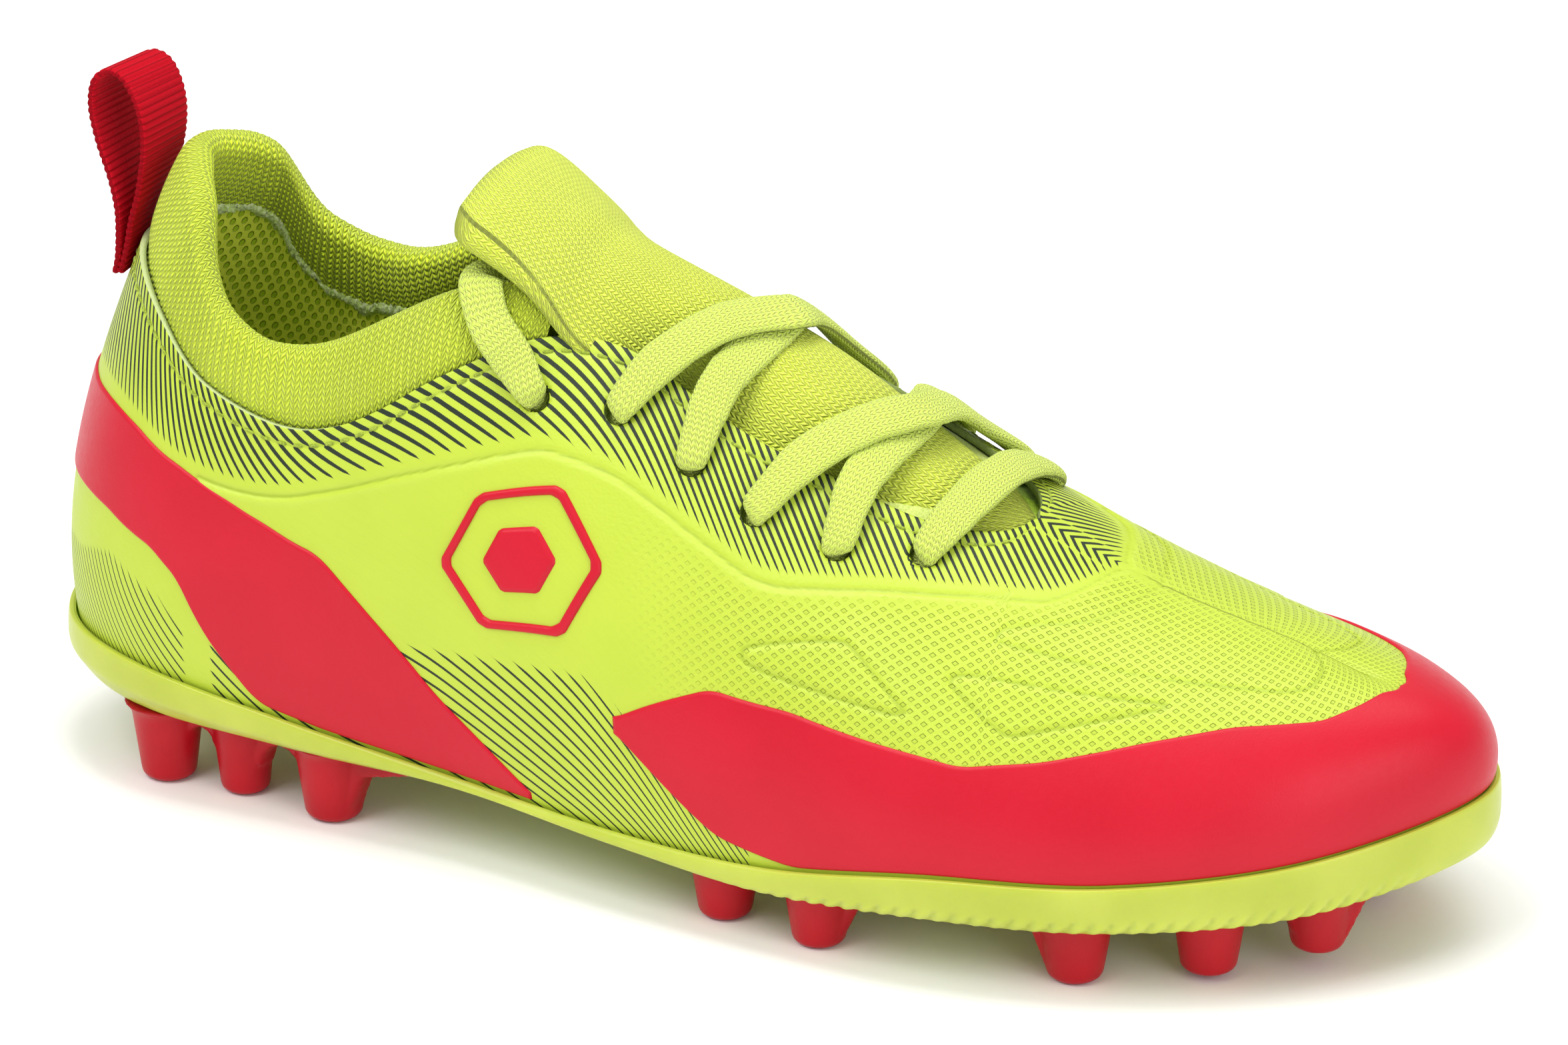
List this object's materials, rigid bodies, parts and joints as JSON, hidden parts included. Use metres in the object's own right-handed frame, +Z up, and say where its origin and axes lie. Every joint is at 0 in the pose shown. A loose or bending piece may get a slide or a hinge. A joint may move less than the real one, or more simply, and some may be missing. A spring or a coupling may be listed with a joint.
{
  "type": "football boot",
  "caption": "Right football boot: coated lime upper with red films, knit collar and tongue, flat lace tucked in, heel pull tab, moulded red studs.",
  "frame": {"origin": "middle of the boot's box, on the ground plane under the studs", "axes": "+X from heel to toe, +Y to the inner side of the foot, +Z up"},
  "size_m": [0.251, 0.0896, 0.1211],
  "materials": {
    "outsole_lime": "translucent moulded TPU, satin gloss",
    "stud_red": "moulded TPU, satin gloss",
    "skin_lime": "coated synthetic skin, fine grain, printed dark stripes",
    "film_red": "heat-bonded film, satin",
    "knit_lime": "coarse weft knit",
    "lining_mesh": "spacer mesh",
    "foam_white": "open-cell foam",
    "stiffener_grey": "thermoplastic stiffener",
    "backer_tape": "woven reinforcing tape",
    "seam_tape": "translucent tape",
    "board_fibre": "pressed fibre board",
    "sockliner_foam": "textile-topped foam",
    "lace_lime": "flat woven lace",
    "aglet_clear": "clear plastic tip",
    "webbing_red": "ribbed grosgrain webbing"
  },
  "bodies": {
    "boot": {"outsole_plate": "outsole_lime", "heel_studs_outer": "stud_red", "heel_studs_inner": "stud_red", "arch_stud_outer": "stud_red", "arch_stud_inner": "stud_red", "ball_stud_outer": "stud_red", "ball_stud_inner": "stud_red", "forefoot_stud_outer": "stud_red", "forefoot_stud_inner": "stud_red", "toe_studs_outer": "stud_red", "toe_studs_inner": "stud_red", "centre_studs": "stud_red", "insole_board": "board_fibre", "sockliner": "sockliner_foam", "skin_upper": "skin_lime", "toe_film": "film_red", "heel_band_film": "film_red", "badge_ring": "film_red", "badge_core": "film_red", "toe_puff": "stiffener_grey", "heel_counter": "stiffener_grey", "eyestay_backer_outer": "backer_tape", "eyestay_backer_inner": "backer_tape", "vamp_lining": "lining_mesh", "heel_lining": "lining_mesh", "collar_knit": "knit_lime", "collar_foam": "foam_white", "collar_seam_tape": "seam_tape", "tongue_base": "knit_lime", "lace": "lace_lime", "aglet_outer": "aglet_clear", "aglet_inner": "aglet_clear", "pull_tab_anchor": "webbing_red"},
    "tongue": {"tongue_flap": "knit_lime"},
    "pull_tab": {"pull_tab_loop": "webbing_red"}
  },
  "joints": [
    {"name": "tongue_fold", "type": "hinge", "parent": "boot", "child": "tongue", "pos_m": [-0.0204, 0.00125, 0.098], "axis": [0, 1, 0], "range_deg": [0, 55], "stiffness_Nm_per_rad": 0.03},
    {"name": "pull_tab_swing", "type": "hinge", "parent": "boot", "child": "pull_tab", "pos_m": [-0.1155, 0.00125, 0.0869], "axis": [0, 1, 0], "range_deg": [-70, 0], "stiffness_Nm_per_rad": 0.004}
  ]
}
